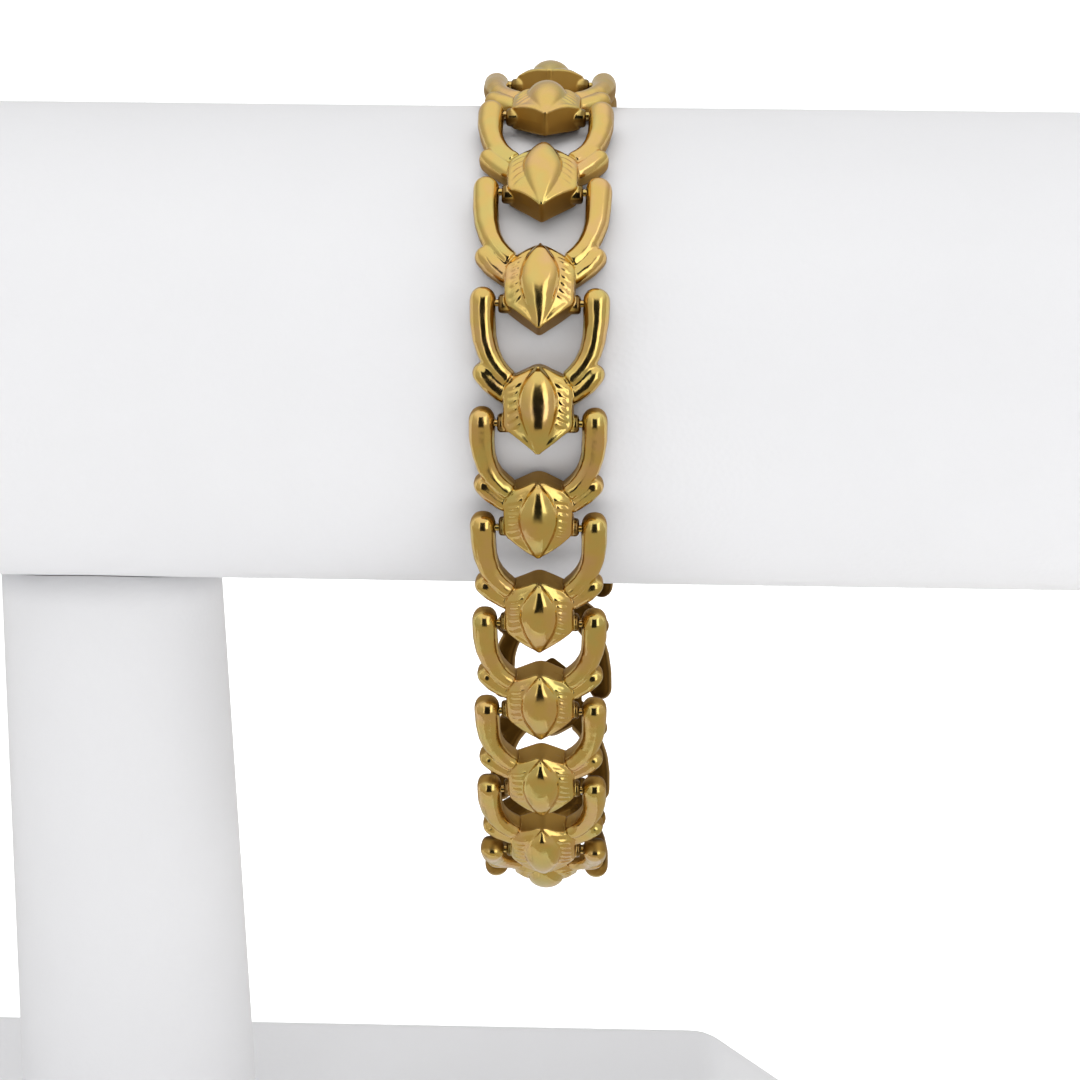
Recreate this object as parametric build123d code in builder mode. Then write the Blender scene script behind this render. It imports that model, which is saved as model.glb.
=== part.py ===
from build123d import *
from math import asinh, atan, copysign, cos, pi, radians, sin, tan
import os

# Link bracelet hanging over a plain T-bar stand.
# Millimetres. Z is up, X runs along the bar and -Y faces the viewer.
# The origin is the centre of the stand's underside.

# Stand
bar_radius = 21.15
bar_length = 210.0
bar_edge = 2.5  # rounding of the bar's two ends
bar_height = 113.0  # bar axis above the table
post_top_radius = 10.05  # at the height of the bar axis
post_foot_radius = 11.85  # where the post meets the base
base_width = 137.4
base_depth = 110.0
base_thickness = 15.0
base_slope = 11.0  # how far each side leans in on its way up
base_corner = 5.0
base_edge = 1.5
saddle_gap = 0.1  # between the post's saddle and the bar

# Bracelet
pitch = 9.95  # from hinge to hinge of a link
clasp_pitch = 12.0  # the same of the clasp
unit_count = 19  # 18 links and the clasp
clasp_place = 14  # which unit is the clasp, counted from the link on top, which is 0
bracelet_place = 40.2  # from the post's axis to the middle of the bracelet
first_pin_run = 4.15  # along the bracelet from the top of the bar to the first hinge in front
seat_gap = 0.1  # between the bar and the back of a link at mid pitch

# Link: x across, y from its own hinge to the next, z outwards, from the axis of its hinge
pin_height = 1.2  # hinge axis above the flat back
plate_thickness = 3.1  # in the middle, under the dome
plate_half_width = 2.95
plate_shoulder = 2.4  # half width where the upper slopes end
plate_top = 4.85  # y of the upper tip
plate_shoulder_y = 6.05
plate_side_y = 7.1  # y where the full width starts
plate_corner_y = 10.3  # y of the lower corners
plate_bottom = 12.45  # y of the lower tip
crown_radius = 8.0  # of the front face along the link
crown_side_radius = 4.5  # of the same face across the link
rim = 0.15  # strip left between the dome and the plate's edge
dome_half_width = 1.7
dome_half_length = 4.6
dome_middle = 8.6  # y of the widest place
dome_axis = 2.4  # above the flat back
dome_height = 3.7  # above the flat back
arm_spread = 4.7  # x of the middle of an arm tip
arm_tip_radius = 1.12  # half the width of an arm tip
arm_crest = 2.36  # above the flat back
elbow_width = 1.86
elbow_crest = 2.12  # above the flat back
knuckle_radius = 0.7  # the tube across the plate's lower corners that the pin runs through
knuckle_half = 3.45  # half its length, short of the next link's arms

# Hinge
hinge_pin_radius = 0.3
hinge_clearance = 0.1  # round the pin, in every hole
hinge_end_gap = 0.1  # between the end of the pin and the bottom of its hole
arm_skin = 0.7  # gold left outside the hole in an arm tip

# Clasp
clasp_half_width = 5.0
clasp_start = 3.0  # y where the box begins
clasp_end = 10.0  # y where the box ends
clasp_thickness = 2.6
clasp_edge = 0.5

# The centre line of an arm, as shares of the spread (x) and of the plate's upper tip (y), with
# its width and the height of its crest as shares of the arm's own
arm_stations = [
    # across, along, width, crest
    (1.00, -0.05, 1.00, 0.98),
    (1.00, 0.30, 0.97, 1.00),
    (0.97, 0.60, 0.89, 1.00),
    (0.90, 0.84, 0.84, 0.99),
    (0.79, 1.04, 0.79, 0.98),
    (0.66, 1.19, 0.75, 0.97),
    (0.52, 1.30, 0.71, 0.97),
]
# The same for an elbow, with shares of the elbow's own width and crest
elbow_stations = [
    # across, along, width, crest
    (0.96, 1.13, 1.00, 1.00),
    (0.82, 1.30, 0.95, 0.97),
    (0.58, 1.52, 0.81, 0.90),
]

round_end_turns = (75, 50, 25)  # degrees round the end of a limb, a section at each

half_pin = arm_spread + arm_tip_radius - arm_skin - hinge_end_gap
half_bore = half_pin + hinge_end_gap
bore_radius = hinge_pin_radius + hinge_clearance
pin_line_radius = ((bar_radius + seat_gap + pin_height) ** 2 + (pitch / 2) ** 2) ** 0.5


def bisect(error, low, high):
    """Where error changes sign between low and high."""
    starts_positive = error(low) > 0
    for _ in range(60):
        middle = (low + high) / 2
        if (error(middle) > 0) == starts_positive:
            low = middle
        else:
            high = middle
    return (low + high) / 2


def hanging_line(length):
    """The line of the hinges: round the bar, then a free catenary below it.

    Gives the point at a run along the line, from the top and positive to the front.
    """

    def spare(steepness):
        hang = sin(steepness) * tan(steepness) / asinh(tan(steepness))
        return pin_line_radius * (pi - steepness + hang) - length / 2

    leave = bisect(spare, 0.6, pi / 2 - 1e-4)  # slope of the line where it leaves the bar
    slack = pin_line_radius * sin(leave) / asinh(tan(leave))
    lowest = -pin_line_radius * cos(leave) - slack * (1 / cos(leave) - 1)

    def point(run):
        run = (run + length / 2) % length - length / 2
        reach = abs(run)
        if reach < pin_line_radius * (pi - leave):
            across = pin_line_radius * sin(reach / pin_line_radius)
            up = pin_line_radius * cos(reach / pin_line_radius)
        else:
            slope = atan((length / 2 - reach) / slack)
            across = slack * asinh(tan(slope))
            up = lowest + slack * (1 / cos(slope) - 1)
        return Vector(bracelet_place, -copysign(across, run), bar_height + up)

    return point


def walk(length):
    """Runs of the hinges, a unit's pitch apart in a straight line from each to the next."""
    point = hanging_line(length)
    runs = [first_pin_run - pitch]
    for index in range(unit_count):
        own = clasp_pitch if index == clasp_place else pitch
        here = point(runs[-1])
        step = bisect(lambda run: (point(runs[-1] + run) - here).length - own, own / 2, 1.3 * own)
        runs.append(runs[-1] + step)
    return runs


def closing_error(length):
    runs = walk(length)
    return runs[-1] - runs[0] - length


chords = (unit_count - 1) * pitch + clasp_pitch
loop_length = bisect(closing_error, 0.99 * chords, 1.05 * chords)
line = hanging_line(loop_length)
hinges = [line(run) for run in walk(loop_length)]
print(f"line of the hinges {loop_length:.2f} mm, lowest hinge {min(h.Z for h in hinges):.2f} mm")


def unit_plane(index):
    """The frame of one unit: x across, y to the next hinge, z outwards."""
    along = (hinges[index + 1] - hinges[index]).normalized()
    across = Vector(-1, 0, 0)
    return Plane(origin=hinges[index], x_dir=across, z_dir=across.cross(along))


def limb_section(place, toward, width, crest):
    """Arched section of an arm or elbow, square to its centre line."""
    side = Vector(0, 0, 1).cross(toward).normalized()
    back, top, half = -pin_height, crest - pin_height, width / 2
    with BuildSketch(Plane(origin=place, x_dir=side, z_dir=toward)) as section:
        with BuildLine():
            Line((half, top - half), (half, back))
            Line((half, back), (-half, back))
            Line((-half, back), (-half, top - half))
            ThreePointArc((-half, top - half), (0, top), (half, top - half))
        make_face()
    return section.sketch


def limb(stations, full_width, full_crest):
    """Sections of one limb from its round end on, for a loft."""
    places = [Vector(row[0] * arm_spread, row[1] * plate_top, 0) for row in stations]
    start, heading = places[0], (places[1] - places[0]).normalized()
    width, crest = stations[0][2] * full_width, stations[0][3] * full_crest
    radius = width / 2
    sections = []
    for turn in round_end_turns:
        shrunk = radius * cos(radians(turn))
        place = start - heading * radius * sin(radians(turn))
        sections.append(limb_section(place, heading, 2 * shrunk, crest - radius + shrunk))
    last = len(stations) - 1
    for index, (_, _, width, crest) in enumerate(stations):
        before, after = places[max(index - 1, 0)], places[min(index + 1, last)]
        toward = (after - before).normalized()
        sections.append(limb_section(places[index], toward, width * full_width, crest * full_crest))
    return sections


# The plate's outline
with BuildSketch(Plane.XY.offset(-pin_height)) as plate_outline:
    with BuildLine():
        Polyline(
            (0, plate_top),
            (plate_shoulder, plate_shoulder_y),
            (plate_half_width, plate_side_y),
            (plate_half_width, plate_corner_y),
            (0, plate_bottom),
            (-plate_half_width, plate_corner_y),
            (-plate_half_width, plate_side_y),
            (-plate_shoulder, plate_shoulder_y),
            close=True,
        )
    make_face()

# The part of the front face that the dome can stand on
with BuildSketch(Plane.XY.offset(-pin_height)) as dome_outline:
    add(plate_outline.sketch)
    offset(amount=-rim, kind=Kind.INTERSECTION)

# The marquise dome, a spindle stretched upwards and sunk into the plate
with BuildPart() as spindle:
    with BuildSketch(Plane.XY) as spindle_half:
        with BuildLine():
            ThreePointArc((0, -dome_half_length), (dome_half_width, 0), (0, dome_half_length))
            Line((0, dome_half_length), (0, -dome_half_length))
        make_face()
    revolve(axis=Axis.Y)
    scale(by=(1, 1, (dome_height - dome_axis) / dome_half_width))

with BuildPart() as dome:
    with Locations((0, dome_middle, dome_axis - pin_height)):
        add(spindle.part)
    extrude(dome_outline.sketch, amount=dome_height, mode=Mode.INTERSECT)

# The arm and the elbow lobe of one side, and their mirror image
with BuildPart() as limbs:
    loft(limb(arm_stations, 2 * arm_tip_radius, arm_crest), ruled=True)
    loft(limb(elbow_stations, elbow_width, elbow_crest), ruled=True)
    mirror(about=Plane.YZ)

# One link
with BuildPart() as link:
    extrude(plate_outline.sketch, amount=plate_thickness)
    with Locations((0, dome_middle, plate_thickness - pin_height - crown_radius)):
        Sphere(crown_radius, mode=Mode.INTERSECT)
    with Locations((0, dome_middle, plate_thickness - pin_height - crown_side_radius)):
        Cylinder(crown_side_radius, 2 * crown_radius, rotation=(90, 0, 0), mode=Mode.INTERSECT)
    add(dome.part)
    add(limbs.part)
    with Locations((0, pitch, 0)):
        Cylinder(knuckle_radius, 2 * knuckle_half, rotation=(0, 90, 0))
    with Locations((0, 0, 0), (0, pitch, 0)):
        Cylinder(bore_radius, 2 * half_bore, rotation=(0, 90, 0), mode=Mode.SUBTRACT)

# The clasp, a plain box with two ears at one hinge and a tongue at the other
with BuildPart() as clasp:
    with BuildSketch(Plane.XY.offset(-pin_height)):
        with Locations((0, (clasp_start + clasp_end) / 2)):
            Rectangle(2 * clasp_half_width, clasp_end - clasp_start)
    extrude(amount=clasp_thickness)
    fillet(clasp.edges().filter_by(Axis.Z), clasp_edge)
    fillet(clasp.faces().sort_by(Axis.Z)[-1].edges(), clasp_edge)
    with BuildSketch(Plane.XY.offset(-pin_height)):
        with Locations((-arm_spread, clasp_start / 2), (arm_spread, clasp_start / 2)):
            Rectangle(2 * arm_tip_radius, clasp_start + 2 * clasp_edge)
        with Locations((0, (clasp_end + clasp_pitch) / 2)):
            Rectangle(2 * plate_half_width, clasp_pitch - clasp_end + 2 * clasp_edge)
    extrude(amount=2 * pin_height)
    with Locations((-arm_spread, 0, 0), (arm_spread, 0, 0)):
        Cylinder(pin_height, 2 * arm_tip_radius, rotation=(0, 90, 0))
    with Locations((0, clasp_pitch, 0)):
        Cylinder(pin_height, 2 * plate_half_width, rotation=(0, 90, 0))
    with Locations((0, 0, 0), (0, clasp_pitch, 0)):
        Cylinder(bore_radius, 2 * half_bore, rotation=(0, 90, 0), mode=Mode.SUBTRACT)

with BuildPart() as stand_bar:
    with Locations((0, 0, bar_height)):
        Cylinder(bar_radius, bar_length, rotation=(0, 90, 0))
    fillet(stand_bar.edges().filter_by(GeomType.CIRCLE), bar_edge)

with BuildPart() as stand_post:
    with Locations((0, 0, base_thickness)):
        Cone(
            post_foot_radius,
            post_top_radius,
            bar_height - base_thickness,
            align=(Align.CENTER, Align.CENTER, Align.MIN),
        )
    with Locations((0, 0, bar_height)):
        Cylinder(bar_radius + saddle_gap, 4 * post_foot_radius, rotation=(0, 90, 0), mode=Mode.SUBTRACT)

with BuildPart() as stand_base:
    with BuildSketch() as underside:
        RectangleRounded(base_width, base_depth, base_corner)
    with BuildSketch(Plane.XY.offset(base_thickness)) as upper_side:
        RectangleRounded(base_width - 2 * base_slope, base_depth - 2 * base_slope, base_corner)
    loft()
    fillet(stand_base.faces().sort_by(Axis.Z)[-1].edges(), base_edge)

os.makedirs("parts", exist_ok=True)

for name, piece in (("stand_bar", stand_bar), ("stand_post", stand_post), ("stand_base", stand_base)):
    piece.part.label = name
    export_step(piece.part, f"parts/{name}.step")

link_number = 0
for index in range(unit_count):
    if index == clasp_place:
        name, pattern = "clasp", clasp
    else:
        link_number += 1
        name, pattern = f"link_{link_number:02d}", link
    with BuildPart(unit_plane(index)) as unit:
        add(pattern.part)
    unit.part.label = name
    export_step(unit.part, f"parts/{name}.step")

for index in range(unit_count):
    with BuildPart(Plane(origin=hinges[index], z_dir=(1, 0, 0))) as hinge_pin:
        Cylinder(hinge_pin_radius, 2 * half_pin)
    name = f"hinge_pin_{index + 1:02d}"
    hinge_pin.part.label = name
    export_step(hinge_pin.part, f"parts/{name}.step")
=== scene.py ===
import bpy
import bmesh
from math import atan2, cos, pi, radians, sin, sqrt
from mathutils import Matrix, Vector, noise


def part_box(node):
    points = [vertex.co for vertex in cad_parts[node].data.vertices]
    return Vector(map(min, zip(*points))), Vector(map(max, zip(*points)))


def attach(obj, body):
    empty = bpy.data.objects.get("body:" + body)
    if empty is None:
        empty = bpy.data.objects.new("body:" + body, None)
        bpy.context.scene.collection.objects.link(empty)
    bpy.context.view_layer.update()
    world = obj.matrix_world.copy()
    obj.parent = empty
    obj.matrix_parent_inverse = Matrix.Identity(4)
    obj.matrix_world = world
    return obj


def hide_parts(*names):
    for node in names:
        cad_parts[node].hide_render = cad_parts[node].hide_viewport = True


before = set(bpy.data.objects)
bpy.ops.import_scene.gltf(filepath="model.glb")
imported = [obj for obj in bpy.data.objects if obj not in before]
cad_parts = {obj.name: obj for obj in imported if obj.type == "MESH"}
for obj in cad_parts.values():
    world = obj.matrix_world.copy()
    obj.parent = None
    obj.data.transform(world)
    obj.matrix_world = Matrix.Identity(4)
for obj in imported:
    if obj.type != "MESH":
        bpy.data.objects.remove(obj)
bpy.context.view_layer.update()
print("frame loaded:", len(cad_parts), "nodes")

mm = 0.001


# Small helpers

def linearColour(hexCode):
    channels = [int(hexCode[i:i + 2], 16) / 255 for i in (1, 3, 5)]
    return [c / 12.92 if c <= 0.04045 else ((c + 0.055) / 1.055) ** 2.4 for c in channels] + [1.0]


def addNode(tree, kind, settings=None, values=None, links=None):
    # a socket goes by its name, or by its number: in a Mix 0 is the share, 2 and 3 are the two
    # numbers and 6 and 7 the two colours, and in a Map Range they are value, from low, from high,
    # to low, to high
    node = tree.nodes.new(kind)
    for name, value in (settings or {}).items():
        setattr(node, name, value)
    for name, value in (values or {}).items():
        node.inputs[name].default_value = value
    for name, socket in (links or {}).items():
        tree.links.new(socket, node.inputs[name])
    return node


def newMaterial(name):
    material = bpy.data.materials.new(name)
    material.use_nodes = True
    material.node_tree.nodes.clear()
    return material, material.node_tree


def placed(name, data):
    thing = bpy.data.objects.new(name, data)
    bpy.context.scene.collection.objects.link(thing)
    return thing


def dressed(mesh, material):
    mesh.materials.clear()
    mesh.materials.append(material)
    for face in mesh.polygons:
        face.use_smooth = True


def meshPiece(name, bm, material):
    mesh = bpy.data.meshes.new(name)
    bm.to_mesh(mesh)
    bm.free()
    dressed(mesh, material)
    return placed(name, mesh)


def applied(piece):
    # the mesh as its modifiers leave it
    graph = bpy.context.evaluated_depsgraph_get()
    mesh = bpy.data.meshes.new_from_object(piece.evaluated_get(graph))
    old = piece.data
    piece.modifiers.clear()
    piece.data = mesh
    bpy.data.meshes.remove(old)
    return piece


def belongs(piece, node):
    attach(piece, "root")
    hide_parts(node)


def roundEdges(bm, edges, offset, segments):
    bmesh.ops.bevel(bm, geom=edges, offset=offset, offset_type="OFFSET", segments=segments,
                    profile=0.5, affect="EDGES", material=-1)


def crossRod(bm, place, radius, halfLength, segments):
    # a solid cylinder along x
    bmesh.ops.create_cone(bm, cap_ends=True, segments=segments, radius1=radius, radius2=radius,
                          depth=2 * halfLength,
                          matrix=Matrix.Translation(place) @ Matrix.Rotation(pi / 2, 4, "Y"))


# Gold: 14 carat yellow gold, cast, then polished by hand and worn. The crests mirror the room
# with hairlines and soft dents. The walls keep the caster's satin. Their brown and the dark of
# the back are painted shade.
goldSet = {
    "body": "#DDBB6E",
    "rosy": "#E0B583",
    "lemon": "#D2C175",
    # the walls' brown is painted shade
    "wallShadeAndSatin": "#A6813F",
    # the back and the ends of the tube are painted dark: painted shade
    "backShade": "#553A14",
    # the inner corners' darker brown is painted shade, with the grime that polishing leaves there
    "recessShadeAndGrime": "#6E5020",
    "roughLow": 0.10,
    "roughHigh": 0.24,
    "wallRough": 0.5,
    "blotch": 2.6 * mm,  # size of the colour's patches
    # where a colour starts, where it is full and how much of it is taken then: of the noise for
    # the patches, of the pointiness for the painted shade and grime in the inner corners
    "rosyBand": (0.50, 0.74, 0.8),
    "lemonBand": (0.50, 0.30, 0.8),
    "recessShadeAndGrimeBand": (0.480, 0.40, 0.7),
    "wear": 0.9 * mm,  # size of the satin patches
    "wearBand": (0.35, 0.70),
    "hairline": 0.16 * mm,  # real ones are finer; these are coarse enough to show
    "hairlineStretch": (1.0, 0.35, 0.12),
    "hairlineTurn": (0.2, 0.5, 0.3),  # radians
    "hairlineDepth": 0.01 * mm,
    "hairlineStrength": 0.10,
    "dent": 1.0 * mm,
    "dentDepth": 0.07 * mm,
    "dentStrength": 0.40,
}


def castGold():
    g = goldSet
    material, tree = newMaterial("polishedCastGold")
    place = addNode(tree, "ShaderNodeTexCoord").outputs["Object"]
    wallShadeAndSatin = addNode(tree, "ShaderNodeAttribute", {"attribute_name": "wallShadeAndSatin"}).outputs["Fac"]
    backShade = addNode(tree, "ShaderNodeAttribute", {"attribute_name": "backShade"}).outputs["Fac"]
    edge = addNode(tree, "ShaderNodeNewGeometry").outputs["Pointiness"]
    blotch, wear, dent = [
        addNode(tree, "ShaderNodeTexNoise", values={"Scale": 1 / g[name], "Detail": detail},
                links={"Vector": place}).outputs["Fac"]
        for name, detail in (("blotch", 2.0), ("wear", 3.0), ("dent", 1.0))]

    # each colour lies over those before it; the last three are painted shade
    colour = None
    for name, mask in (("rosy", blotch), ("lemon", blotch), ("wallShadeAndSatin", wallShadeAndSatin), ("backShade", backShade),
                       ("recessShadeAndGrime", edge)):
        if name + "Band" in g:
            start, full, most = g[name + "Band"]
            mask = addNode(tree, "ShaderNodeMapRange", values={1: start, 2: full, 4: most},
                           links={0: mask}).outputs[0]
        under = {6: colour} if colour else {}
        colour = addNode(tree, "ShaderNodeMix", {"data_type": "RGBA"},
                         {6: linearColour(g["body"]), 7: linearColour(g[name])},
                         {0: mask, **under}).outputs[2]

    start, full = g["wearBand"]
    worn = addNode(tree, "ShaderNodeMapRange",
                   values={1: start, 2: full, 3: g["roughLow"], 4: g["roughHigh"]}, links={0: wear})
    rough = addNode(tree, "ShaderNodeMix", {"data_type": "FLOAT"}, {3: g["wallRough"]},
                    {0: wallShadeAndSatin, 2: worn.outputs[0]})
    stretch = addNode(tree, "ShaderNodeMapping",
                      values={"Scale": g["hairlineStretch"], "Rotation": g["hairlineTurn"]},
                      links={"Vector": place})
    hairline = addNode(tree, "ShaderNodeTexNoise", values={"Scale": 1 / g["hairline"], "Detail": 1.0},
                       links={"Vector": stretch.outputs[0]})
    fine = addNode(tree, "ShaderNodeBump",
                   values={"Strength": g["hairlineStrength"], "Distance": g["hairlineDepth"]},
                   links={"Height": hairline.outputs["Fac"]})
    soft = addNode(tree, "ShaderNodeBump",
                   values={"Strength": g["dentStrength"], "Distance": g["dentDepth"]},
                   links={"Height": dent, "Normal": fine.outputs[0]})
    shader = addNode(tree, "ShaderNodeBsdfPrincipled", values={"Metallic": 1.0},
                     links={"Base Color": colour, "Roughness": rough.outputs[0],
                            "Normal": soft.outputs[0]})
    addNode(tree, "ShaderNodeOutputMaterial", links={"Surface": shader.outputs[0]})
    return material


# Leatherette: white embossed PVC skin over card and board. It is matt, with a fine pebble
# pressed into it and a faint unevenness where the glue lies under it.
skinSet = {
    "white": "#DADADC",
    "shade": "#D6D6D8",
    "cloud": 14 * mm,  # size of the patches of the two whites
    "pebble": 0.55 * mm,
    "pebbleDepth": 0.04 * mm,
    "pebbleStrength": 0.35,
    "crease": 2.2 * mm,
    "creaseDepth": 0.08 * mm,
    "creaseStrength": 0.3,
    "rough": 0.58,
    "ior": 1.46,
    "gloss": 0.35,
}


def leatherette():
    k = skinSet
    material, tree = newMaterial("whiteLeatherette")
    place = addNode(tree, "ShaderNodeTexCoord").outputs["Object"]
    cloud = addNode(tree, "ShaderNodeTexNoise", values={"Scale": 1 / k["cloud"], "Detail": 3.0},
                    links={"Vector": place})
    colour = addNode(tree, "ShaderNodeMix", {"data_type": "RGBA"},
                     {6: linearColour(k["white"]), 7: linearColour(k["shade"])},
                     {0: cloud.outputs["Fac"]})
    pebble = addNode(tree, "ShaderNodeTexVoronoi", values={"Scale": 1 / k["pebble"]},
                     links={"Vector": place})
    crease = addNode(tree, "ShaderNodeTexNoise", values={"Scale": 1 / k["crease"], "Detail": 5.0},
                     links={"Vector": place})
    grain = addNode(tree, "ShaderNodeBump",
                    values={"Strength": k["pebbleStrength"], "Distance": k["pebbleDepth"]},
                    links={"Height": pebble.outputs["Distance"]})
    uneven = addNode(tree, "ShaderNodeBump",
                     values={"Strength": k["creaseStrength"], "Distance": k["creaseDepth"]},
                     links={"Height": crease.outputs["Fac"], "Normal": grain.outputs[0]})
    shader = addNode(tree, "ShaderNodeBsdfPrincipled",
                     values={"Roughness": k["rough"], "IOR": k["ior"], "Specular IOR Level": k["gloss"]},
                     links={"Base Color": colour.outputs[2], "Normal": uneven.outputs[0]})
    addNode(tree, "ShaderNodeOutputMaterial", links={"Surface": shader.outputs[0]})
    return material


gold = castGold()
skin = leatherette()
print("materials made")


# The links. One is shaped in millimetres in its own frame: x across, y from its own hinge to
# the next, z outwards from the hinge's axis. It is then set at each pair of hinges.
linkSet = {
    "pitch": 9.95,
    "back": -1.2,  # the flat back
    "front": 1.9,  # the plate's face in the middle
    "field": 0.14,  # how far the face lies below its rim
    "fieldEnd": 11.5,  # y from which it rises to the rim
    "rim": 0.2,  # width of the flat rim
    "rimEdge": 0.12,  # rounding outside it
    "fieldEdge": 0.16,  # width of the slope inside it
    "draft": 0.02,  # share by which the face is smaller than the back
    "outline": ((0, 4.85), (2.4, 6.05), (2.95, 7.1), (2.95, 10.3), (0, 12.6)),  # right half
    "cornerEdge": 0.3,  # rounding of the plate's upright corners
    "tipEdge": 0.6,  # the same at the upper tip
    "crown": 8.5,  # radius of the face along the link
    "crownSide": 4.5,  # the same across it
    "roof": 0.5,  # how steeply the upper tip falls away
    "roofStart": 5.6,  # y in the middle
    "roofSlant": 0.5,  # how much further down it starts for each millimetre to the side
    "soleEdge": 0.25,  # chamfer round the back
    "wobble": 0.07,  # how far hand finishing has moved the surface
    "wobbleSize": 2.4,
    "wobbleStep": 20,  # from one link's noise to the next one's
    "wobbleSeed": 7,  # without a seed the noise would change with the time of day
    "domeMiddle": 8.4,
    "domeHalfWidth": 1.7,
    "domeAxis": 1.2,
    "domeRise": 1.3,  # crest above that
    "domeBuried": 0.8,  # and the hidden half below it
    "domeUp": (3.35, 3.15),  # from the middle to where the sides and the crest would close
    "domeDown": (4.4, 4.3),
    "domePowers": (2.3, 1.6, 1.9),  # bluntness of the upper end, the lower end and the lower crest
    "domeLeast": (0.05, 0.1),  # half width and height at the tips, as shares of the middle's
    "domeDip": 0.35,  # how far the lower end hangs
    "domeDipLength": 4,
    "domeStart": 5.08,
    "domeEnd": 12.45,
    "domeSteps": 40,
    "barCount": 7,
    "barStart": 6.1,
    "barStep": 0.66,
    "barInner": 0.97,  # its inner end, as a share of the dome's half width
    "barOuter": 0.6,  # how much of the rim its outer end leaves free
    "barLength": 1.12,  # as a share of the distance between those
    "barWidth": 0.40,
    "barRise": 0.19,
    "barTilt": 30,
    "barUneven": (0.07, 0.06, 0.2, 8),  # in place, length, width and tilt
    "spread": 4.7,  # x of the middle of an arm's tip
    "armWidth": 2.24,
    "armCrest": 1.16,
    "ballTurns": (80, 62, 44, 22),  # degrees at which the ball at a limb's start has its sections
    "ballFloor": 0.85,  # how far its underside rises as it shrinks
    "flankPower": 0.5,  # squares a limb's section below its middle; 1 would leave it round
    "knuckleRadius": 0.8,
    "knuckleSink": 0.2,  # how far its middle lies behind the pin's
    "knuckleHalf": 3.42,
    "knuckleEdge": 0.3,
    "elbowWidth": 1.8,
    "elbowCrest": 1.02,
    "elbowPeak": 1.15,  # height of the section's arch as a share of its half width
    "boreRadius": 0.4,
    "boreHalf": 5.12,
    "ventRadius": 0.4,  # the blind hole in the back
    "ventDepth": 0.6,
    "ventPlace": 7.9,
    "limbVoxel": 0.09,
    "limbSmoothing": 12,
    "voxel": 0.075,
    "smoothing": 2,
    "kept": 0.3,  # share of the faces left at the end
    "wallShadeAndSatinBand": (0.40, 0.35),  # outward part of the normal where a wall's painted shade and satin start, and its span
    "backShadeBand": (-0.3, 0.4),  # the same for the painted shade of the back
    "tubeShade": 0.8,  # how much painted shade the outer ends of the tube take
    "tubeShadeStart": 3.0,  # x
}
# centre line of an arm: x as a share of the spread, y, then the limb's width there and the height
# of its crest above the back, each as a share of the limb's own
armStations = (
    (1.00, -0.24, 1.00, 0.98),
    (1.00, 1.45, 0.97, 1.00),
    (0.97, 2.90, 0.89, 1.00),
    (0.90, 4.07, 0.84, 0.99),
    (0.79, 5.04, 0.79, 0.98),
    (0.66, 5.77, 0.75, 0.97),
    (0.52, 6.30, 0.71, 0.97),
)
elbowStations = (
    (0.98, 5.85, 1.00, 1.00),
    (0.85, 6.62, 0.97, 0.98),
    (0.63, 7.50, 0.88, 0.92),
    (0.40, 8.25, 0.74, 0.82),
)


def limbRing(bm, place, heading, half, crest, floor, peak, capped):
    # an arched section, square to the centre line, with steep flanks and a nearly flat back
    side = Vector((0, 0, 1)).cross(heading).normalized()
    middle = crest - half * peak
    ring = bmesh.ops.create_circle(bm, cap_ends=capped, segments=24, radius=1)["verts"]
    for v in ring:
        across, up = v.co.x, v.co.y
        if up < 0:
            across = (1 if across > 0 else -1) * abs(across) ** linkSet["flankPower"]
            up = up * (middle - floor)
        else:
            up = up * half * peak
        v.co = place + side * across * half + Vector((0, 0, middle + up))
    return ring


def ringEdges(ring):
    # each edge once, and always in the same order
    edges = dict.fromkeys(e for v in ring for e in v.link_edges)
    return [e for e in edges if all(v in ring for v in e.verts)]


def addLimb(bm, stations, width, crest, peak, flip):
    k = linkSet
    places = [Vector((s[0] * k["spread"], s[1], 0)) for s in stations]
    rings = []
    heading = (places[1] - places[0]).normalized()
    half = stations[0][2] * width / 2
    top = k["back"] + stations[0][3] * (crest - k["back"])
    for turn in k["ballTurns"]:
        # the limb starts with a ball: its sections shrink from above and from below
        shrunk = half * cos(radians(turn))
        place = places[0] - heading * half * sin(radians(turn))
        rings.append(limbRing(bm, place, heading, shrunk, top - half + shrunk,
                              k["back"] + k["ballFloor"] * (half - shrunk), peak, not rings))
    last = len(stations) - 1
    for i, (_, _, wide, high) in enumerate(stations):
        toward = (places[min(i + 1, last)] - places[max(i - 1, 0)]).normalized()
        top = k["back"] + high * (crest - k["back"])
        rings.append(limbRing(bm, places[i], toward, wide * width / 2, top, k["back"], peak,
                              i == last))
    for near, far in zip(rings, rings[1:]):
        bmesh.ops.bridge_loops(bm, edges=ringEdges(near) + ringEdges(far))
    if flip:
        bmesh.ops.scale(bm, vec=(-1, 1, 1), verts=[v for ring in rings for v in ring])


def domeHalf(y):
    # blunt above, pointed below
    k = linkSet
    if y < k["domeMiddle"]:
        share = ((k["domeMiddle"] - y) / k["domeUp"][0]) ** k["domePowers"][0]
    else:
        share = ((y - k["domeMiddle"]) / k["domeDown"][0]) ** k["domePowers"][1]
    return k["domeHalfWidth"] * max(k["domeLeast"][0], 1 - share)


def domeHigh(y):
    # the crest over the axis, an ellipse above the middle and a curve to a point below it
    k = linkSet
    least = k["domeLeast"][1]
    if y < k["domeMiddle"]:
        return k["domeRise"] * sqrt(max(least ** 2, 1 - ((k["domeMiddle"] - y) / k["domeUp"][1]) ** 2))
    share = ((y - k["domeMiddle"]) / k["domeDown"][1]) ** k["domePowers"][2]
    return k["domeRise"] * max(least, 1 - share)


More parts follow.
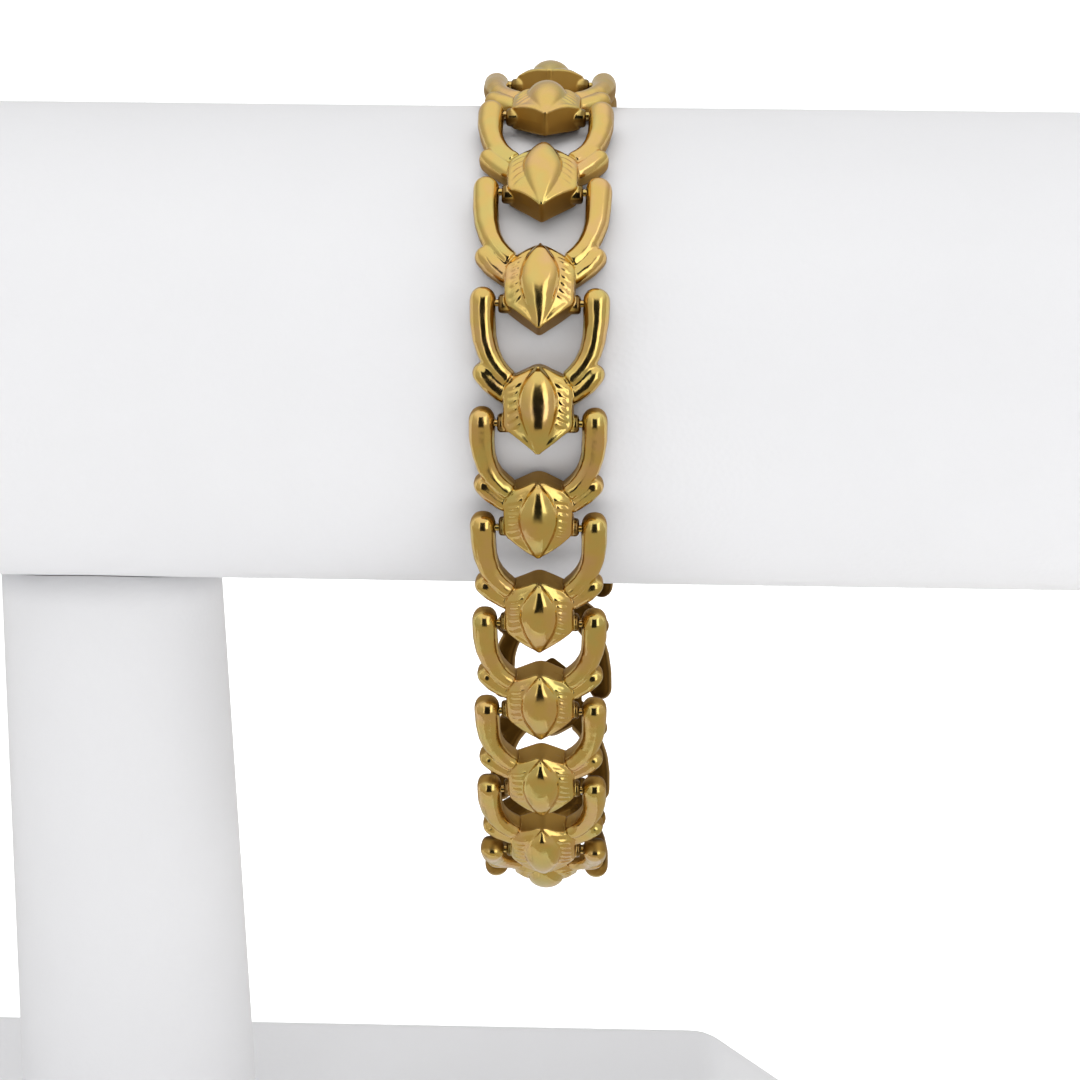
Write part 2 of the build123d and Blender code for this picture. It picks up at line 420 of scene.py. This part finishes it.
def addDome(bm):
    # a pointed oval, its sections ellipses
    k = linkSet
    steps = k["domeSteps"]
    rings = []
    for i in range(steps + 1):
        y = k["domeStart"] + (k["domeEnd"] - k["domeStart"]) * (1 - cos(pi * i / steps)) / 2
        ring = bmesh.ops.create_circle(bm, cap_ends=i in (0, steps), segments=40, radius=1)["verts"]
        axis = k["domeAxis"] - k["domeDip"] * (max(0, y - k["domeMiddle"]) / k["domeDipLength"]) ** 2
        for v in ring:
            high = domeHigh(y) if v.co.y > 0 else k["domeBuried"]
            v.co = (v.co.x * domeHalf(y), y, axis + v.co.y * high)
        rings.append(ring)
    for near, far in zip(rings, rings[1:]):
        bmesh.ops.bridge_loops(bm, edges=ringEdges(near) + ringEdges(far))


def addPlate(bm):
    k = linkSet
    right = [Vector((x, y, k["back"])) for x, y in k["outline"]]
    left = [Vector((-p.x, p.y, p.z)) for p in right[-2:0:-1]]
    face = bm.faces.new([bm.verts.new(p) for p in right + left])
    grown = bmesh.ops.extrude_face_region(bm, geom=[face])["geom"]
    top = [v for v in grown if isinstance(v, bmesh.types.BMVert)]
    bmesh.ops.translate(bm, vec=(0, 0, k["front"] - k["back"]), verts=top)
    bmesh.ops.scale(bm, vec=(1 - k["draft"], 1 - k["draft"], 1), verts=top,
                    space=Matrix.Translation((0, -k["domeMiddle"], 0)))
    bmesh.ops.recalc_face_normals(bm, faces=bm.faces[:])
    # the edges that stand up, and of these the upper tip's
    upright = [e for e in bm.edges if abs(e.verts[0].co.z - e.verts[1].co.z) > 1]
    tip = [e for e in upright if e.verts[0].co.y < k["outline"][1][1] - 0.5]
    roundEdges(bm, [e for e in upright if e not in tip], k["cornerEdge"], 3)
    roundEdges(bm, tip, k["tipEdge"], 4)
    lid = max(bm.faces, key=lambda f: f.calc_center_median().z)
    roundEdges(bm, lid.edges[:], k["rimEdge"], 2)
    lid = max(bm.faces, key=lambda f: (round(f.calc_center_median().z, 3), f.calc_area()))
    bmesh.ops.inset_region(bm, faces=[lid], thickness=k["rim"], depth=0)
    bmesh.ops.inset_region(bm, faces=[lid], thickness=k["fieldEdge"], depth=-k["field"])
    for v in lid.verts:
        if v.co.y > k["fieldEnd"]:
            v.co.z += k["field"]
    sole = min(bm.faces, key=lambda f: f.calc_center_median().z)
    roundEdges(bm, sole.edges[:], k["soleEdge"], 2)


def addKnuckle(bm):
    # the tube that the hinge pin runs through, its ends rounded
    k = linkSet
    crossRod(bm, (0, k["pitch"], -k["knuckleSink"]), k["knuckleRadius"], k["knuckleHalf"], 40)
    caps = [e for f in bm.faces if len(f.verts) > 4 for e in f.edges]
    roundEdges(bm, caps, k["knuckleEdge"], 4)


def addBars(bm):
    # the stamped bars beside the dome, a column on each side, struck by hand and a little uneven
    k = linkSet
    outer = k["outline"][2][0] - k["rimEdge"] - k["rim"] * k["barOuter"]
    shifted, longer, wider, turned = k["barUneven"]
    for i in range(k["barCount"]):
        for side in (-1, 1):
            uneven = sin(7.3 * i + 2.1 * side)  # an irregular row of numbers from -1 to 1
            y = k["barStart"] + i * k["barStep"] + shifted * uneven
            inner = domeHalf(y) * k["barInner"]
            bar = bmesh.ops.create_uvsphere(bm, u_segments=16, v_segments=10, radius=0.5)["verts"]
            length = (outer - inner) * (k["barLength"] + longer * uneven)
            width = k["barWidth"] * (1 + wider * uneven)
            size = Matrix.Diagonal((length, width, 2 * k["barRise"], 1))
            turn = Matrix.Rotation(radians(k["barTilt"] + turned * uneven) * side, 4, "Z")
            middle = Vector((side * (inner + outer) / 2, y, k["front"] - k["field"]))
            bmesh.ops.transform(bm, matrix=Matrix.Translation(middle) @ turn @ size, verts=bar)


def shell(build, *args):
    bm = bmesh.new()
    build(bm, *args)
    bmesh.ops.recalc_face_normals(bm, faces=bm.faces[:])
    mesh = bpy.data.meshes.new("shell")
    bm.to_mesh(mesh)
    bm.free()
    return mesh


def fused(shells, voxel, smoothing):
    # the shells as one skin, its joins softened
    bm = bmesh.new()
    for mesh in shells:
        bm.from_mesh(mesh)
        bpy.data.meshes.remove(mesh)
    piece = meshPiece("fused", bm, gold)
    fuse = piece.modifiers.new("fuse", "REMESH")
    fuse.mode = "VOXEL"
    fuse.voxel_size = voxel
    applied(piece)
    bm = bmesh.new()
    bm.from_mesh(piece.data)
    for _ in range(smoothing):
        bmesh.ops.smooth_vert(bm, verts=bm.verts[:], factor=0.5, use_axis_x=True, use_axis_y=True,
                              use_axis_z=True)
    bm.to_mesh(piece.data)
    bm.free()
    mesh = piece.data
    bpy.data.objects.remove(piece)
    return mesh


def addDrills(bm):
    # the two rows of hinge holes and the vent in the back
    k = linkSet
    for y in (0, k["pitch"]):
        crossRod(bm, (0, y, 0), k["boreRadius"], k["boreHalf"], 24)
    bmesh.ops.create_cone(bm, cap_ends=True, segments=24, radius1=k["ventRadius"],
                          radius2=k["ventRadius"], depth=2 * k["ventDepth"],
                          matrix=Matrix.Translation((0, k["ventPlace"], k["back"])))


def shareOf(outward, start, span):
    return min(1.0, max(0.0, (start - outward) / span))


def linkShape():
    k = linkSet
    limbs = []
    for flip in (False, True):
        limbs.append(shell(addLimb, armStations, k["armWidth"], k["armCrest"], 1.0, flip))
        limbs.append(shell(addLimb, elbowStations, k["elbowWidth"], k["elbowCrest"], k["elbowPeak"],
                           flip))
    plate = fused([shell(addPlate), shell(addBars)], k["voxel"], 0)
    for v in plate.vertices:
        if v.co.z > 0:
            # the face is crowned both ways, and its upper tip is a small roof
            drop = v.co.x ** 2 / (2 * k["crownSide"])
            drop += (v.co.y - k["domeMiddle"]) ** 2 / (2 * k["crown"])
            drop += max(0, k["roofStart"] + k["roofSlant"] * abs(v.co.x) - v.co.y) * k["roof"]
            v.co.z *= 1 - drop / k["front"]
    limbs = fused(limbs, k["limbVoxel"], k["limbSmoothing"])
    mesh = fused([limbs, plate, shell(addDome), shell(addKnuckle)], k["voxel"], k["smoothing"])
    link = placed("linkShape", mesh)
    drill = placed("drill", shell(addDrills))
    cut = link.modifiers.new("drill", "BOOLEAN")
    cut.operation = "DIFFERENCE"
    cut.solver = "EXACT"
    cut.object = drill
    thin = link.modifiers.new("thin", "DECIMATE")
    thin.ratio = k["kept"]
    applied(link)
    mesh = link.data
    bpy.data.objects.remove(link)
    bpy.data.objects.remove(drill)
    dressed(mesh, gold)
    # how much of a wall and of a back each place is, for the gold's painted shade and the walls' satin
    wallShadeAndSatin = mesh.attributes.new("wallShadeAndSatin", "FLOAT", "POINT")
    backShade = mesh.attributes.new("backShade", "FLOAT", "POINT")
    for v in mesh.vertices:
        share = shareOf(v.normal.z, *k["wallShadeAndSatinBand"])
        wallShadeAndSatin.data[v.index].value = share * share * (3 - 2 * share)
        backShade.data[v.index].value = shareOf(v.normal.z, *k["backShadeBand"])
        # painted shade round the ends of the tube, which lie in the shadow between plate and arm
        if k["tubeShadeStart"] < abs(v.co.x) < k["knuckleHalf"] + 0.1 and abs(v.co.y - k["pitch"]) < 1:
            backShade.data[v.index].value = k["tubeShade"]
    return mesh


hingeCount = 19
claspUnit = 14  # counted from the link on top, which is 0


def hingePlace(i):
    low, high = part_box(f"hinge_pin_{i % hingeCount + 1:02d}")
    return (low + high) / 2


def unitFrame(i):
    # millimetres in the unit's own frame to metres in the part's
    here, there = hingePlace(i), hingePlace(i + 1)
    x = Vector((-1, 0, 0))
    y = (there - here).normalized()
    z = x.cross(y)
    return Matrix.Translation(here) @ Matrix((x, y, z)).transposed().to_4x4() @ Matrix.Scale(mm, 4)


def makeLinks():
    k = linkSet
    shape = linkShape()
    print("link shaped:", len(shape.polygons), "faces")
    units = [i for i in range(hingeCount) if i != claspUnit]
    noise.seed_set(k["wobbleSeed"])
    for number, i in enumerate(units, 1):
        mesh = shape.copy()
        apart = Vector((0, 0, k["wobbleStep"] * i))
        for v in mesh.vertices:
            v.co += noise.noise_vector(v.co / k["wobbleSize"] + apart) * k["wobble"]
        mesh.transform(unitFrame(i))
        belongs(placed(f"goldLink_{number:02d}", mesh), f"link_{number:02d}")
    bpy.data.meshes.remove(shape)
    print("links placed:", len(units))


makeLinks()


# The clasp, hidden in the photo: a plain box in two halves, with two ears at its upper hinge and
# a tongue at its lower one. In millimetres in its own frame, as the link is.
claspSet = {
    "halfWidth": 5.0,
    "pitch": 12.0,
    "start": 3.0,
    "split": 7.6,  # y of the seam that it would open at
    "end": 10.0,
    "back": -1.2,
    "thickness": 2.6,
    "edge": 0.45,
    "slot": 0.12,  # width of the seam
    "coreSide": 0.25,  # how far the block inside the seam lies behind the box's sides
    "coreBack": 0.15,
    "coreFace": 0.2,
    "coreHalf": 0.6,
    "coreEdge": 0.1,
    "lugFace": 1.2,  # z of the face of the ears and the tongue
    "lugReach": 0.6,  # how far they run into the box
    "lugEdge": 0.2,
    "earWidth": 2.24,
    "earPlace": 4.7,
    "tongueHalf": 2.95,
    "eye": 1.2,
    "restHalf": 1.6,  # the thumb rest over the seam
    "restUp": 1.1,
    "restDown": 1.0,
    "restSunk": 0.3,
    "restRise": 0.35,
    "restEdge": 0.25,
}


def roundedBlock(bm, low, high, edge):
    block = bmesh.ops.create_cube(bm, size=1)["verts"]
    size = Matrix.Diagonal((high[0] - low[0], high[1] - low[1], high[2] - low[2], 1))
    middle = Matrix.Translation([(a + b) / 2 for a, b in zip(low, high)])
    bmesh.ops.transform(bm, matrix=middle @ size, verts=block)
    roundEdges(bm, list(dict.fromkeys(e for v in block for e in v.link_edges)), edge, 4)


def makeClasp():
    k = claspSet
    bm = bmesh.new()
    half, back, split = k["halfWidth"], k["back"], k["split"]
    top = back + k["thickness"]
    roundedBlock(bm, (-half, k["start"], back), (half, split - k["slot"], top), k["edge"])
    roundedBlock(bm, (-half + k["coreSide"], split - k["coreHalf"], back + k["coreBack"]),
                 (half - k["coreSide"], split + k["coreHalf"], top - k["coreFace"]), k["coreEdge"])
    roundedBlock(bm, (-half, split, back), (half, k["end"], top), k["edge"])
    half = k["earWidth"] / 2
    for x in (-k["earPlace"], k["earPlace"]):
        roundedBlock(bm, (x - half, 0, back), (x + half, k["start"] + k["lugReach"], k["lugFace"]),
                     k["lugEdge"])
        crossRod(bm, (x, 0, 0), k["eye"], half, 32)
    half = k["tongueHalf"]
    roundedBlock(bm, (-half, k["end"] - k["lugReach"], back), (half, k["pitch"], k["lugFace"]),
                 k["lugEdge"])
    crossRod(bm, (0, k["pitch"], 0), k["eye"], half, 32)
    roundedBlock(bm, (-k["restHalf"], split - k["restUp"], top - k["restSunk"]),
                 (k["restHalf"], split + k["restDown"], top + k["restRise"]), k["restEdge"])
    bmesh.ops.recalc_face_normals(bm, faces=bm.faces[:])
    bm.transform(unitFrame(claspUnit))
    belongs(meshPiece("goldClasp", bm, gold), "clasp")


def finishPins():
    # the pins stay as the solids have them
    for i in range(hingeCount):
        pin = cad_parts[f"hinge_pin_{i + 1:02d}"]
        pin.data.materials.clear()
        pin.data.materials.append(gold)


makeClasp()
finishPins()
print("clasp and pins finished")


# The stand: a bar, a post and a base, each of card or board with the leatherette drawn over it
barLow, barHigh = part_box("stand_bar")
barRadius = (barHigh.z - barLow.z) / 2
barAxis = (barHigh.z + barLow.z) / 2


def spunPiece(bm, outline, axis, steps):
    line = [bm.verts.new(p) for p in outline]
    edges = [bm.edges.new(pair) for pair in zip(line, line[1:])]
    bmesh.ops.spin(bm, geom=line + edges, cent=(0, 0, 0), axis=axis, angle=2 * pi, steps=steps,
                   use_merge=True)
    bmesh.ops.remove_doubles(bm, verts=bm.verts[:], dist=0.00001)
    bmesh.ops.recalc_face_normals(bm, faces=bm.faces[:])


barSet = {
    "edge": 2.5 * mm,
    "edgeSteps": 8,
    "disc": 15.5 * mm,  # radius of the disc that closes each end
    "gutter": 0.35 * mm,  # how far the disc lies behind the end
    # round the disc's edge: the depth behind the end in gutters, and how far it is outside the disc
    "gutterLine": ((1.0, -0.8 * mm), (1.3, -0.4 * mm), (2.2, 0.0), (0.4, 0.5 * mm), (0.0, 1.2 * mm)),
    "sideSteps": 14,
    "roundSteps": 120,
    "lap": 0.3 * mm,  # the skin's overlap, below at the back
    "lapFrom": 236,  # degrees round the bar from the front, over the top
    "lapTo": 262,
}


def makeBar():
    k = barSet
    end, r = barHigh.x, barRadius
    outline = [(end - k["gutter"], 0, 0), (end - k["gutter"], 0, k["disc"] * 0.6)]
    outline += [(end - deep * k["gutter"], 0, k["disc"] + out) for deep, out in k["gutterLine"]]
    for i in range(k["edgeSteps"] + 1):
        a = radians(90 * i / k["edgeSteps"])
        outline.append((end - k["edge"] * (1 - cos(a)), 0, r - k["edge"] * (1 - sin(a))))
    flat = end - k["edge"]
    outline += [(flat - flat * i / k["sideSteps"], 0, r) for i in range(1, k["sideSteps"] + 1)]
    outline += [(-x, y, z) for x, y, z in reversed(outline[:-1])]
    bm = bmesh.new()
    spunPiece(bm, outline, (1, 0, 0), k["roundSteps"])
    for v in bm.verts:
        turn = (pi - atan2(v.co.z, v.co.y)) * 180 / pi % 360
        if k["lapFrom"] < turn < k["lapTo"] and abs(v.co.x) < flat:
            v.co.yz = v.co.yz * (1 + k["lap"] / r)
    bmesh.ops.translate(bm, vec=(0, 0, barAxis), verts=bm.verts[:])
    belongs(meshPiece("barSkin", bm, skin), "stand_bar")


postSet = {
    "foot": 11.85 * mm,
    "top": 10.05 * mm,
    "gap": 0.1 * mm,  # between its saddle and the bar
    "hem": 0.5 * mm,  # height of the turned-in edge at the foot
    "hemSwell": 0.1 * mm,
    "sideSteps": 24,
    "roundSteps": 96,
    "lap": 0.3 * mm,  # the skin's overlap, at the back
    "lapFrom": 84,  # degrees round the post from the right
    "lapTo": 102,
    "lapEnds": (0.002, 0.98),  # as shares of the height
}


def makePost():
    k = postSet
    low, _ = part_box("stand_post")
    foot, hem = k["foot"], k["hem"]
    floorLevel, topLevel = low.z, barAxis
    outline = [(0, 0, floorLevel), (foot * 0.5, 0, floorLevel), (foot, 0, floorLevel)]
    outline += [(foot + k["hemSwell"], 0, floorLevel + 0.5 * hem), (foot, 0, floorLevel + hem)]
    for i in range(1, k["sideSteps"] + 1):
        share = i / k["sideSteps"]
        outline.append((foot + (k["top"] - foot) * share, 0,
                        floorLevel + hem + (topLevel - floorLevel - hem) * share))
    outline += [(k["top"] * 0.5, 0, topLevel), (0, 0, topLevel)]
    bm = bmesh.new()
    spunPiece(bm, outline, (0, 0, 1), k["roundSteps"])
    # the top follows the underside of the bar
    reach = barRadius + k["gap"]
    for v in bm.verts:
        limit = barAxis - sqrt(reach ** 2 - min(abs(v.co.y), foot) ** 2)
        share = (v.co.z - floorLevel) / (topLevel - floorLevel)
        if v.co.z > floorLevel + hem:
            v.co.z = floorLevel + share * (limit - floorLevel)
        turn = (atan2(v.co.y, v.co.x) * 180 / pi) % 360
        outside = v.co.xy.length > k["top"] * 0.9
        if outside and k["lapFrom"] < turn < k["lapTo"] and k["lapEnds"][0] < share < k["lapEnds"][1]:
            v.co.xy = v.co.xy * (1 + k["lap"] / k["top"])
    belongs(meshPiece("postSkin", bm, skin), "stand_post")


baseSet = {
    "slope": 11 * mm,  # how far each side leans in from the floor to the top
    "corner": 3 * mm,
    "edge": 1.5 * mm,
    "soleEdge": 0.5 * mm,
    "flatFace": 400 * mm * mm,  # faces from this size up are shaded flat
}


def makeBase():
    k = baseSet
    low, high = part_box("stand_base")
    bm = bmesh.new()
    block = bmesh.ops.create_cube(bm, size=1)["verts"]
    bmesh.ops.scale(bm, vec=high - low, verts=block)
    bmesh.ops.translate(bm, vec=(low + high) / 2, verts=block)
    for v in block:
        if v.co.z > low.z + mm:
            v.co.x -= k["slope"] if v.co.x > 0 else -k["slope"]
            v.co.y -= k["slope"] if v.co.y > 0 else -k["slope"]
    upright = [e for e in bm.edges if abs(e.verts[0].co.z - e.verts[1].co.z) > mm]
    roundEdges(bm, upright, k["corner"], 6)
    lid = max(bm.faces, key=lambda f: f.calc_center_median().z)
    roundEdges(bm, lid.edges[:], k["edge"], 4)
    sole = min(bm.faces, key=lambda f: f.calc_center_median().z)
    roundEdges(bm, sole.edges[:], k["soleEdge"], 2)
    bmesh.ops.recalc_face_normals(bm, faces=bm.faces[:])
    base = meshPiece("baseSkin", bm, skin)
    for face in base.data.polygons:
        face.use_smooth = face.area < k["flatFace"]
    belongs(base, "stand_base")


makeBar()
makePost()
makeBase()
print("stand covered")


# The room: a pale sheet for a floor with pale paper round it, and a bright tent that only the metal
# mirrors. The tent has a dark gap in its front, where the photographer stands, with a window on
# the right of it and a narrow panel on the left. Soft boxes light the stand and the sheet.
roomSet = {
    "floor": "#F7F7F7",
    "floorSize": 6.0,
    "glow": 0.5,  # the sheet is lit a little from below
    "farGlow": 0.95,  # and wholly where the boxes don't reach
    "farFrom": 0.5,
    "farTo": 1.3,
    "wallHeight": 3.0,
    "lower": (0.50, 0.455, 0.34),  # what the metal mirrors from below, warm
    "level": (0.57, 0.555, 0.51),
    "upper": (1.02, 1.02, 1.00),
    "lowerBand": (-0.5, -0.1),  # z of the direction where one turns into the next
    "upperBand": (0.2, 0.8),
    "frontBand": (0.0, -0.1),  # y where the gap and its neighbours begin
    "gap": (-0.36, 0.38, -0.46, 0.66),  # x from and to, z from and to, as parts of a unit direction
    "gapLight": 0.02,
    "window": (0.43, 0.72, -0.25, 0.68),
    "windowLight": 2.0,
    "panel": (-0.52, -0.41, -0.25, 0.66),
    "panelLight": 1.3,
    "softEdge": 0.03,
    "boxAim": (0, 0, 0.08),
    "boxes": (  # name, size in metres, place, watts
        ("overheadBox", 1.5, (0, -0.06, 1.1), 13.2),
        ("frontBox", 0.45, (0.03, -0.9, 0.55), 2.4),
        ("backBox", 0.8, (0.3, 0.9, 0.5), 3.5),
        ("leftBox", 0.8, (-0.9, -0.3, 0.4), 3.3),
        ("rightBox", 0.8, (0.9, -0.5, 0.3), 3.8),
    ),
}


def makeRoom():
    k = roomSet
    bm = bmesh.new()
    bmesh.ops.create_grid(bm, x_segments=1, y_segments=1, size=k["floorSize"] / 2)
    material, tree = newMaterial("litPaleSheet")
    place = addNode(tree, "ShaderNodeTexCoord").outputs["Object"]
    away = addNode(tree, "ShaderNodeVectorMath", {"operation": "LENGTH"}, links={0: place})
    glow = addNode(tree, "ShaderNodeMapRange", {"interpolation_type": "SMOOTHSTEP"},
                   {1: k["farFrom"], 2: k["farTo"], 3: k["glow"], 4: k["farGlow"]},
                   {0: away.outputs["Value"]})
    shader = addNode(tree, "ShaderNodeBsdfPrincipled",
                     values={"Base Color": linearColour(k["floor"]), "Roughness": 0.9,
                             "Emission Color": linearColour(k["floor"])},
                     links={"Emission Strength": glow.outputs[0]})
    addNode(tree, "ShaderNodeOutputMaterial", links={"Surface": shader.outputs[0]})
    floor = meshPiece("floor", bm, material)
    floor.visible_glossy = False

    # the paper that stands round the sheet, seen but not lighting anything
    bm = bmesh.new()
    bmesh.ops.create_cone(bm, cap_ends=False, segments=64, radius1=k["floorSize"] / 2,
                          radius2=k["floorSize"] / 2, depth=k["wallHeight"],
                          matrix=Matrix.Translation((0, 0, k["wallHeight"] / 2)))
    material, tree = newMaterial("litPalePaper")
    shader = addNode(tree, "ShaderNodeEmission",
                     values={"Color": linearColour(k["floor"]), "Strength": 1.0})
    addNode(tree, "ShaderNodeOutputMaterial", links={"Surface": shader.outputs[0]})
    paper = meshPiece("paper", bm, material)
    paper.visible_glossy = False
    paper.visible_diffuse = False
    paper.visible_shadow = False

    world = bpy.data.worlds.new("tent")
    bpy.context.scene.world = world
    world.use_nodes = True
    tree = world.node_tree
    tree.nodes.clear()
    toward = addNode(tree, "ShaderNodeTexCoord").outputs["Generated"]
    x, y, z = addNode(tree, "ShaderNodeSeparateXYZ", links={0: toward}).outputs

    soft = k["softEdge"]
    ramp = {"interpolation_type": "SMOOTHSTEP"}
    blend = {"data_type": "RGBA"}

    # from below to above
    rising = []
    for low, high in (k["lowerBand"], k["upperBand"]):
        rising.append(addNode(tree, "ShaderNodeMapRange", ramp, {1: low, 2: high}, {0: z}).outputs[0])
    sky = addNode(tree, "ShaderNodeMix", blend, {6: (*k["lower"], 1), 7: (*k["level"], 1)},
                  {0: rising[0]}).outputs[2]
    sky = addNode(tree, "ShaderNodeMix", blend, {7: (*k["upper"], 1)},
                  {0: rising[1], 6: sky}).outputs[2]

    # what stands in front, each a soft-edged oblong
    for name in ("gap", "window", "panel"):
        left, right, bottom, top = k[name]
        mask = None
        for socket, low, high in ((x, left - soft, left + soft), (x, right + soft, right - soft),
                                  (z, bottom - soft, bottom + soft), (z, top + soft, top - soft),
                                  (y, *k["frontBand"])):
            edge = addNode(tree, "ShaderNodeMapRange", ramp, {1: low, 2: high}, {0: socket}).outputs[0]
            if mask:
                edge = addNode(tree, "ShaderNodeMath", {"operation": "MULTIPLY"},
                               links={0: mask, 1: edge}).outputs[0]
            mask = edge
        light = k[name + "Light"]
        sky = addNode(tree, "ShaderNodeMix", blend, {7: (light, light, light, 1)},
                      {0: mask, 6: sky}).outputs[2]
    back = addNode(tree, "ShaderNodeBackground", links={"Color": sky})
    addNode(tree, "ShaderNodeOutputWorld", links={"Surface": back.outputs[0]})

    # the metal mirrors the tent, which lights nothing matt
    world.cycles_visibility.diffuse = False
    for name, size, place, watts in k["boxes"]:
        lamp = bpy.data.lights.new(name, "AREA")
        lamp.shape = "SQUARE"
        lamp.size = size
        lamp.energy = watts
        box = placed(name, lamp)
        box.location = place
        box.rotation_mode = "QUATERNION"
        box.rotation_quaternion = (Vector(k["boxAim"]) - box.location).to_track_quat("-Z", "Y")
        box.visible_glossy = False


# The camera, as the photo was taken: close, from above the bracelet's front
cameraSet = {
    "beside": 9.95 * mm,  # x from the bracelet's middle
    "away": -292.5 * mm,  # y
    "aboveBar": 111.4 * mm,
    "aim": (-0.0332, 0.9128, -0.4070),
    "lens": 116.83,
}


def makeCamera():
    k = cameraSet
    data = bpy.data.cameras.new("photoCamera")
    data.sensor_width = 36
    data.lens = k["lens"]
    data.clip_start = 0.01
    camera = placed("photoCamera", data)
    camera.location = (hingePlace(0).x + k["beside"], k["away"], barAxis + k["aboveBar"])
    camera.rotation_mode = "QUATERNION"
    camera.rotation_quaternion = Vector(k["aim"]).to_track_quat("-Z", "Y")
    bpy.context.scene.camera = camera


makeRoom()
makeCamera()
bpy.context.scene.view_settings.view_transform = "Standard"
print("room and camera set")
